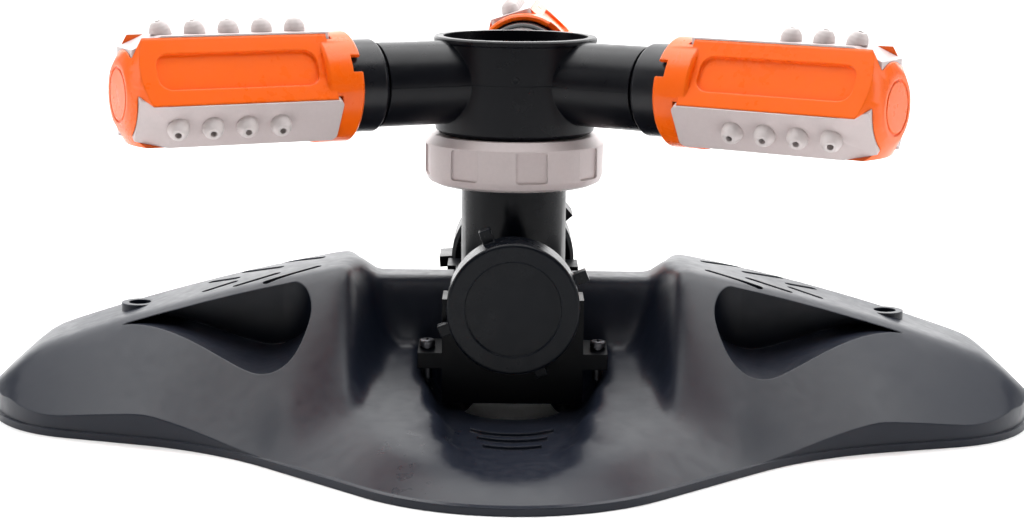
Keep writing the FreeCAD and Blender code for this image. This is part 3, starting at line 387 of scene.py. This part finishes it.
@dataclass(frozen=True)
class SoftRubber:
    """Moulded seal rubber, matt with a faint bloom."""

    name: str
    colour: tuple[float, float, float]
    roughness: float = 0.68
    roughness_drift: float = 0.08
    bloom_size: float = 4 * MM
    bloom_share: float = 0.5
    bloom_gain: float = 2.4             # brightness of the bloom
    pore_size: float = 0.5 * MM
    pore_depth: float = 0.02 * MM

    def material(self) -> bpy.types.Material:
        """Builds the material.

        Returns:
            The finished material.
        """
        sheet = ShaderSheet(self.name)
        place = sheet.add("TexCoord").outputs["Object"]
        bloom = sheet.noise(place, self.bloom_size, MANY_LAYERS)
        pores = sheet.noise(place, self.pore_size, SOME_LAYERS)
        colour = sheet.mix(sheet.spread(bloom, BLOOM_PATCHES, (0.0, self.bloom_share)),
                           tint(self.colour), tint(self.colour, self.bloom_gain))
        roughness = sheet.spread(bloom, NOISE_MIDDLE, (self.roughness - self.roughness_drift,
                                                       self.roughness + self.roughness_drift))
        bump = sheet.bump(sheet.math("MULTIPLY", pores, self.pore_depth))
        shader = sheet.add("BsdfPrincipled", Base_Color=colour, Roughness=roughness, Normal=bump)
        return sheet.finish(shader.outputs[0])


@dataclass(frozen=True)
class DrawnSteel:
    """Steel with fine drawing marks and a few dull spots."""

    name: str
    colour: tuple[float, float, float]
    roughness: float
    mark_size: float = 1.1 * MM
    mark_stretch: float = 14.0          # how much finer the marks are along Z
    mark_depth: float = 0.006 * MM
    mark_roughness: tuple[float, float] = (-0.08, 0.1)     # added where marks are low and high
    spot_size: float = 1.6 * MM
    spot_share: float = 0.6
    spot_gain: float = 0.6              # brightness of the dull spots
    spot_roughness: float = 0.2

    def material(self) -> bpy.types.Material:
        """Builds the material.

        Returns:
            The finished material.
        """
        sheet = ShaderSheet(self.name)
        place = sheet.add("TexCoord").outputs["Object"]
        squeezed = sheet.add("Mapping", Vector=place, Scale=(1.0, 1.0, self.mark_stretch))
        marks = sheet.noise(squeezed.outputs[0], self.mark_size, SOME_LAYERS)
        spots = sheet.noise(place, self.spot_size, MORE_LAYERS)
        colour = sheet.mix(sheet.spread(spots, DULL_PATCHES, (0.0, self.spot_share)),
                           tint(self.colour), tint(self.colour, self.spot_gain))
        low, high = self.mark_roughness
        roughness = sheet.math("ADD",
                               sheet.spread(marks, NOISE_MIDDLE,
                                            (self.roughness + low, self.roughness + high)),
                               sheet.spread(spots, DULL_CORES, (0.0, self.spot_roughness)))
        bump = sheet.bump(sheet.math("MULTIPLY", marks, self.mark_depth))
        shader = sheet.add("BsdfPrincipled", Base_Color=colour, Roughness=roughness, Normal=bump)
        shader.inputs["Metallic"].default_value = 1.0
        return sheet.finish(shader.outputs[0])


Finish = MouldedPlastic | SoftRubber | DrawnSteel


@dataclass
class FinishRack:
    """Every finish of the sprinkler, each made once."""

    made: dict[str, bpy.types.Material] = field(default_factory=dict)

    def take(self, finish: Finish) -> bpy.types.Material:
        """Hands out a finish's material, built the first time it is asked for.

        Args:
            finish: the finish.

        Returns:
            Its material.
        """
        if finish.name not in self.made:
            self.made[finish.name] = finish.material()
        return self.made[finish.name]


GRAPHITE = MouldedPlastic("graphite_base", (0.0072, 0.0102, 0.0195), 0.35, clouding=0.10,
                          grain_size=0.7 * MM, grain_depth=0.005 * MM, edge_gain=3.0,
                          edge_wear=0.55, edge_radius=0.5 * MM, specular=0.30, dust=0.02)
PIPE_BLACK = MouldedPlastic("black_pipe", (0.0022, 0.003, 0.0052), 0.30, edge_gain=3.5,
                            specular=0.14)
HUB_BLACK = MouldedPlastic("black_hub", (0.0038, 0.0042, 0.0062), 0.30, edge_gain=3.5,
                           specular=0.2, seam_height=81.8 * MM)
COLLAR_BLACK = MouldedPlastic("black_collar", (0.006, 0.0065, 0.009), 0.30, edge_gain=4.0,
                              specular=0.3)
CRADLE_BLACK = MouldedPlastic("black_cradle", (0.002, 0.0026, 0.0042), 0.36, edge_gain=3.0,
                              specular=0.12)
CAP_GREY = MouldedPlastic("dark_cap", (0.0042, 0.0055, 0.0085), 0.30, edge_gain=5.0,
                          edge_radius=0.4 * MM, specular=0.16)
WARM_GREY = MouldedPlastic("warm_grey", (0.60, 0.52, 0.515), 0.36, clouding=0.03,
                           edge_gain=1.25, edge_wear=0.6, specular=0.4)
NOZZLE_GREY = MouldedPlastic("pale_grey", (0.64, 0.58, 0.57), 0.34, clouding=0.03,
                             edge_gain=1.2, specular=0.4)
HOT_ORANGE = MouldedPlastic("orange_cage", (1.0, 0.13, 0.004), 0.30, clouding=0.04,
                            roughness_drift=0.05, grain_depth=0.003 * MM, edge_gain=1.6,
                            coat=0.06, specular=0.3, edge_radius=0.5 * MM)
WHITE_ACETAL = MouldedPlastic("white_acetal", (0.78, 0.78, 0.75), 0.35, clouding=0.03,
                              edge_gain=1.1)
SEAL_RUBBER = SoftRubber("seal_rubber", (0.008, 0.008, 0.009))
SCREW_STEEL = DrawnSteel("blackened_screw", (0.11, 0.11, 0.12), 0.38)
SCREEN_STEEL = DrawnSteel("screen_steel", (0.62, 0.62, 0.6), 0.26)


# ---------------------------------------------------------------- dressing the model's own pieces
@dataclass(frozen=True)
class Dressing:
    """Puts finishes and rounded edges on pieces that keep their shape."""

    rack: FinishRack
    frame: dict
    seam_gap: float = 1e-6              # points closer than this are joined, in metres
    flat_angle: float = 0.4             # faces this close to one plane are merged, in degrees
    sharp_angle: float = 32.0           # least angle of an edge that is rounded, in degrees
    arc_steps: int = 3
    shading_weight: int = 80            # how strongly large faces set the shading

    def dress(self, node: str, finish: Finish, rounding: float = 0.0) -> None:
        """Gives a piece its finish, and rounds its sharp edges.

        Args:
            node: the piece's name.
            finish: its finish.
            rounding: width of the rounded edges in metres, 0 to leave them.
        """
        piece = self.frame["nodes"][node]
        material = self.rack.take(finish)
        for index in range(len(piece.material_slots)):
            piece.material_slots[index].material = material
        if rounding:
            self.round_edges(piece, rounding)
        LOG.info("dressed %s in %s", node, finish.name)

    def round_edges(self, piece: bpy.types.Object, width: float) -> None:
        """Joins a piece's seams, merges its flat faces and rounds its sharp edges.

        Args:
            piece: the piece.
            width: width of the rounded edges in metres.
        """
        weld = piece.modifiers.new("joined_seams", "WELD")
        weld.merge_threshold = self.seam_gap
        flat = piece.modifiers.new("merged_flats", "DECIMATE")
        flat.decimate_type = "DISSOLVE"
        flat.angle_limit = math.radians(self.flat_angle)
        bevel = piece.modifiers.new("rounded_edges", "BEVEL")
        bevel.width = width
        bevel.segments = self.arc_steps
        bevel.limit_method = "ANGLE"
        bevel.angle_limit = math.radians(self.sharp_angle)
        bevel.use_clamp_overlap = True
        bevel.miter_outer = "MITER_ARC"
        evened = piece.modifiers.new("evened_shading", "WEIGHTED_NORMAL")
        evened.weight = self.shading_weight
        evened.keep_sharp = False

    def new_piece(self, name: str, points: list[Vector], faces: list[tuple[int, ...]],
                  finish: Finish, body: str, slot: Slot) -> bpy.types.Object:
        """Makes a smooth-shaded piece from points and faces.

        Args:
            name: the piece's name.
            points: corners in metres.
            faces: corner numbers of each face.
            finish: its finish.
            body: the body that it rides on.
            slot: not used.

        Returns:
            The new piece.
        """
        mesh = bpy.data.meshes.new(name)
        mesh.from_pydata([tuple(p) for p in points], [], faces)
        mesh.validate()
        for polygon in mesh.polygons:
            polygon.use_smooth = True
        mesh.materials.append(self.rack.take(finish))
        piece = bpy.data.objects.new(name, mesh)
        bpy.context.scene.collection.objects.link(piece)
        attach(piece, body)
        LOG.info("made %s on %s", name, body)
        return piece

    def mount(self, name: str) -> dict:
        """The record's mount of that name."""
        return next(m for m in self.frame["record"]["mounts"] if m["name"] == name)

    def joint(self, name: str) -> dict:
        """The joint of that name."""
        return next(j for j in self.frame["joints"] if j["name"] == name)

    def front_wall(self, node: str, height: float, half_angle: float, step: float) -> float:
        """Finds the radius about Z of a piece's outer wall in front.

        Args:
            node: the piece's name.
            height: only points above this height count, in metres.
            half_angle: and only points this near to straight ahead, in radians.
            step: how far in from the outermost point the wall may lie, in metres.

        Returns:
            The least radius of the wall's points, in metres.
        """
        points = [v.co for v in self.frame["nodes"][node].data.vertices]
        radii = [math.hypot(p.x, p.y) for p in points
                 if abs(math.atan2(p.x, -p.y)) < half_angle and p.z > height]
        return min(r for r in radii if r > max(radii) - step)


# ---------------------------------------------------------------- sub-assemblies
@dataclass
class GroundBase:
    """Moulded base with the cradle that holds the water pipe."""

    dressing: Dressing
    edge: float = 0.35 * MM
    screw_edge: float = 0.08 * MM

    def build(self) -> None:
        """Dresses the base, its cradle and their screws."""
        self.dressing.dress("base_shell", GRAPHITE)
        self.dressing.dress("tee_saddle", CRADLE_BLACK, self.edge)
        self.dressing.dress("saddle_screws", SCREW_STEEL, self.screw_edge)
        self.dressing.dress("tee_screws", SCREW_STEEL)


@dataclass
class WaterPipe:
    """Water pipe with its screw cap in front and swivel inlet behind."""

    dressing: Dressing
    edge: float = 0.3 * MM
    cap_edge: float = 0.18 * MM
    thread_pitch: float = 2.2 * MM
    thread_depth: float = 0.95 * MM
    thread_bite: float = 0.15 * MM      # how far the ridge's foot goes into the nut
    thread_inset: float = 0.4 * MM      # where the ridge starts, past the bore's inner end
    thread_spare: float = 2.0           # turns of the bore left without thread
    foot_share: float = 0.42            # half the ridge's width at its foot, in pitches
    crest_share: float = 0.25           # width of its crest, as a share of its foot's
    thread_steps: int = 64              # steps round one turn
    fade_steps: float = 24.0            # steps over which each end fades out

    def build(self) -> None:
        """Dresses the pipe's pieces and cuts the inlet's thread."""
        self.dressing.dress("tee_body", PIPE_BLACK, self.edge)
        self.dressing.dress("outlet_cap", CAP_GREY, self.cap_edge)
        self.dressing.dress("cap_washer", SEAL_RUBBER)
        self.dressing.dress("inlet_tailpiece", PIPE_BLACK)
        self.dressing.dress("inlet_nut", PIPE_BLACK, self.edge)
        self.dressing.dress("inlet_washer", SEAL_RUBBER)
        self.dressing.dress("inlet_filter", SCREEN_STEEL)
        self.inlet_thread()

    def inlet_thread(self) -> bpy.types.Object:
        """Makes the helical ridge inside the swivel nut, open to the rear.

        Returns:
            The thread.
        """
        bore = self.dressing.mount("hose_inlet")
        axis_height = bore["pos_m"][2]
        foot_radius = bore["dims"]["r_mm"] * MM + self.thread_bite
        length = bore["dims"]["length_mm"] * MM
        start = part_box("inlet_nut")[1].y - length + self.thread_inset
        turns = (length - self.thread_spare * self.thread_pitch) / self.thread_pitch
        steps = int(turns * self.thread_steps)
        foot = self.thread_pitch * self.foot_share
        crest = foot * self.crest_share
        points: list[Vector] = []
        for i in range(steps + 1):
            angle = FULL_TURN * i / self.thread_steps
            fade = min(i / self.fade_steps, (steps - i) / self.fade_steps, 1.0)
            along = start + self.thread_pitch * i / self.thread_steps + foot
            crest_radius = foot_radius - self.thread_depth * fade
            for radius, shift in ((foot_radius, -foot), (crest_radius, -crest),
                                  (crest_radius, crest), (foot_radius, foot)):
                points.append(Vector((radius * math.cos(angle), along + shift,
                                      axis_height + radius * math.sin(angle))))
        corners = len(points) // (steps + 1)
        faces: list[tuple[int, ...]] = []
        for i in range(steps):
            here, ahead = corners * i, corners * (i + 1)
            for k in range(corners):
                beside = (k + 1) % corners
                faces.append((here + k, ahead + k, ahead + beside, here + beside))
        faces.append(tuple(range(corners)))
        faces.append(tuple(corners * steps + k for k in reversed(range(corners))))
        return self.dressing.new_piece("inlet_thread", points, faces, PIPE_BLACK, "inlet",
                                       Slot.BLACK)


@dataclass
class Rotor:
    """Hub with its lid, ring and bearing pieces."""

    dressing: Dressing
    edge: float = 0.25 * MM
    ring_edge: float = 0.3 * MM
    gate_radius: float = 1.05 * MM
    gate_rise: float = 1.5 * MM         # height of the gate mark over the rotor's joint
    gate_steps: int = 24
    wall_rise: float = 5.0 * MM         # the hub's wall is measured above this height
    wall_angle: float = 0.3             # and this near to straight ahead, in radians
    wall_step: float = 0.6 * MM
    # Share of the radius and how proud it stands in millimetres, from the rim to the middle.
    gate_profile: tuple[tuple[float, float], ...] = ((1.0, -0.05), (0.92, 0.10), (0.55, 0.12),
                                                     (0.35, -0.02), (0.0, -0.04))

    def build(self) -> None:
        """Dresses the rotor's pieces and adds the mark where the hub's moulding was gated."""
        self.dressing.dress("rotor_hub", HUB_BLACK, self.edge)
        self.dressing.dress("hub_lid", HUB_BLACK)
        self.dressing.dress("retaining_ring", WARM_GREY, self.ring_edge)
        self.dressing.dress("thrust_washer_lower", WHITE_ACETAL)
        self.dressing.dress("thrust_washer_upper", WHITE_ACETAL)
        self.dressing.dress("rotor_seal", SEAL_RUBBER)
        self.dressing.dress("spindle", WHITE_ACETAL)
        self.gate_mark()

    def gate_mark(self) -> bpy.types.Object:
        """Makes the small round mark with a dimple on the hub's front.

        Returns:
            The mark.
        """
        height = self.dressing.joint("rotor_spin")["pos_m"][2]
        wall = self.dressing.front_wall("rotor_hub", height + self.wall_rise, self.wall_angle,
                                        self.wall_step)
        place = Vector((0.0, -wall, height + self.gate_rise))
        ring = self.gate_steps
        points: list[Vector] = []
        for share, proud in self.gate_profile[:-1]:
            reach = share * self.gate_radius
            for i in range(ring):
                angle = FULL_TURN * i / ring
                across = reach * math.cos(angle)
                drop = wall - math.sqrt(wall * wall - across * across)
                points.append(place + Vector((across, drop - proud * MM,
                                              reach * math.sin(angle))))
        points.append(place + Vector((0.0, -self.gate_profile[-1][1] * MM, 0.0)))
        rows = len(self.gate_profile) - 2
        faces = [(k * ring + i, k * ring + (i + 1) % ring,
                  (k + 1) * ring + (i + 1) % ring, (k + 1) * ring + i)
                 for k in range(rows) for i in range(ring)]
        last = rows * ring
        faces += [(last + i, last + (i + 1) % ring, len(points) - 1) for i in range(ring)]
        return self.dressing.new_piece("hub_gate_mark", points, faces, HUB_BLACK, "rotor",
                                       Slot.BLACK)


@dataclass
class SprayHead:
    """One arm's head: collar, seal, grey core, nozzles and orange cage."""

    dressing: Dressing
    side: Side
    collar_edge: float = 0.25 * MM
    core_edge: float = 0.3 * MM
    cage_edge: float = 0.6 * MM

    def build(self) -> None:
        """Dresses the head's pieces."""
        tail = "_" + self.side.value
        self.dressing.dress("arm_collar" + tail, COLLAR_BLACK, self.collar_edge)
        self.dressing.dress("arm_oring" + tail, SEAL_RUBBER)
        self.dressing.dress("nozzle_core" + tail, WARM_GREY, self.core_edge)
        self.dressing.dress("nozzle_tips" + tail, NOZZLE_GREY)
        self.dressing.dress("spray_cage" + tail, HOT_ORANGE, self.cage_edge)


# ---------------------------------------------------------------- studio
@dataclass(frozen=True)
class SoftLight:
    """One large soft lamp that points at a spot."""

    name: str
    place: tuple[float, float, float]
    size: tuple[float, float]
    power: float
    aim: tuple[float, float, float] = (0.0, 0.0, 0.05)

    def hang(self) -> None:
        """Hangs the lamp, out of the camera's sight."""
        data = bpy.data.lights.new(self.name, "AREA")
        data.shape = "RECTANGLE"
        data.size, data.size_y = self.size
        data.energy = self.power
        lamp = bpy.data.objects.new(self.name, data)
        lamp.location = self.place
        towards = Vector(self.aim) - Vector(self.place)
        lamp.rotation_euler = towards.to_track_quat("-Z", "Y").to_euler()
        lamp.visible_camera = False
        bpy.context.scene.collection.objects.link(lamp)


@dataclass
class Studio:
    """Pale floor, soft lamps, even surroundings and the camera."""

    floor_radius: float = 12.0
    floor_sides: int = 96
    floor_tones: tuple[tuple[float, float, float], ...] = ((0.93, 0.93, 0.935),
                                                           (0.95, 0.95, 0.95))
    floor_cloud_size: float = 0.9
    floor_roughness: float = 0.7
    air_colour: tuple[float, float, float] = (0.96, 0.96, 0.965)
    air_in_front: float = 0.03          # strength of the light from the front
    air_behind: float = 0.75
    air_limits: tuple[float, float] = (-0.2, 0.8)   # directions along Y with those strengths
    lens: float = 73.3
    sensor_width: float = 36.0
    view_range: tuple[float, float] = (0.02, 60.0)
    camera_place: tuple[float, float, float] = (-0.00215, -0.510, 0.13127)
    camera_pitch: float = 10.49
    camera_yaw: float = -0.21
    camera_roll: float = 0.66
    lamps: tuple[SoftLight, ...] = (
        SoftLight("overhead_panel", (0.0, 0.25, 1.15), (1.8, 1.3), 30.0),
        SoftLight("back_panel", (0.0, 1.7, 0.75), (3.2, 1.5), 30.0),
        SoftLight("left_panel", (-1.15, -0.15, 0.45), (0.35, 0.9), 3.2),
        SoftLight("right_panel", (1.15, -0.15, 0.45), (0.35, 0.9), 3.2),
        SoftLight("front_panel", (-0.3, -1.0, 1.3), (1.0, 0.5), 2.5),
    )

    def build(self) -> None:
        """Sets up the floor, the surroundings, the lamps and the camera."""
        self.floor()
        self.surroundings()
        for lamp in self.lamps:
            lamp.hang()
        self.camera()
        bpy.context.scene.view_settings.view_transform = "Standard"

    def floor(self) -> None:
        """Lays the round pale floor."""
        turns = [FULL_TURN * i / self.floor_sides for i in range(self.floor_sides)]
        points = [(0.0, 0.0, 0.0)]
        points += [(self.floor_radius * math.cos(turn), self.floor_radius * math.sin(turn), 0.0)
                   for turn in turns]
        faces = [(0, i + 1, (i + 1) % self.floor_sides + 1) for i in range(self.floor_sides)]
        mesh = bpy.data.meshes.new("studio_floor")
        mesh.from_pydata(points, [], faces)
        sheet = ShaderSheet("studio_paper")
        place = sheet.add("TexCoord").outputs["Object"]
        clouds = sheet.spread(sheet.noise(place, self.floor_cloud_size), NOISE_MIDDLE)
        tone = sheet.mix(clouds, tint(self.floor_tones[0]), tint(self.floor_tones[1]))
        shader = sheet.add("BsdfPrincipled", Base_Color=tone, Roughness=self.floor_roughness)
        mesh.materials.append(sheet.finish(shader.outputs[0]))
        floor = bpy.data.objects.new("studio_floor", mesh)
        bpy.context.scene.collection.objects.link(floor)

    def surroundings(self) -> None:
        """Fills the air all round, dimmer as a light source in front than behind."""
        world = bpy.data.worlds.new("studio_air")
        world.use_nodes = True
        tree = world.node_tree
        tree.nodes.clear()
        direction = tree.nodes.new("ShaderNodeTexCoord")
        split = tree.nodes.new("ShaderNodeSeparateXYZ")
        ramp = tree.nodes.new("ShaderNodeMapRange")
        levels = (*self.air_limits, self.air_in_front, self.air_behind)
        for index, value in enumerate(levels, start=1):
            ramp.inputs[index].default_value = value
        glow = tree.nodes.new("ShaderNodeBackground")
        seen = tree.nodes.new("ShaderNodeBackground")
        seen.inputs["Color"].default_value = tint(self.air_colour)
        path = tree.nodes.new("ShaderNodeLightPath")
        blend = tree.nodes.new("ShaderNodeMixShader")
        out = tree.nodes.new("ShaderNodeOutputWorld")
        tree.links.new(direction.outputs["Generated"], split.inputs[0])
        tree.links.new(split.outputs["Y"], ramp.inputs[0])
        tree.links.new(ramp.outputs[0], glow.inputs["Strength"])
        tree.links.new(path.outputs["Is Camera Ray"], blend.inputs[0])
        tree.links.new(glow.outputs[0], blend.inputs[1])
        tree.links.new(seen.outputs[0], blend.inputs[2])
        tree.links.new(blend.outputs[0], out.inputs["Surface"])
        bpy.context.scene.world = world

    def camera(self) -> None:
        """Puts the camera in front of the base, a little above it."""
        data = bpy.data.cameras.new("front_camera")
        data.sensor_width = self.sensor_width
        data.lens = self.lens
        data.clip_start, data.clip_end = self.view_range
        camera = bpy.data.objects.new("front_camera", data)
        turn = (Matrix.Rotation(math.radians(self.camera_yaw), 4, "Z")
                @ Matrix.Rotation(math.radians(90.0 - self.camera_pitch), 4, "X")
                @ Matrix.Rotation(math.radians(self.camera_roll), 4, "Z"))
        camera.matrix_world = Matrix.Translation(self.camera_place) @ turn
        bpy.context.scene.collection.objects.link(camera)
        bpy.context.scene.camera = camera


def main(frame: dict) -> None:
    """Builds every sub-assembly in order.

    Args:
        frame: the loaded frame.
    """
    logging.basicConfig(level=logging.INFO, format="%(name)s: %(message)s")
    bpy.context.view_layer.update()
    dressing = Dressing(FinishRack(), frame)
    GroundBase(dressing).build()
    WaterPipe(dressing).build()
    Rotor(dressing).build()
    for side in Side:
        SprayHead(dressing, side).build()
    Studio().build()
    bpy.context.view_layer.update()
    LOG.info("size written")


if __name__ == "__main__":
    main(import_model())
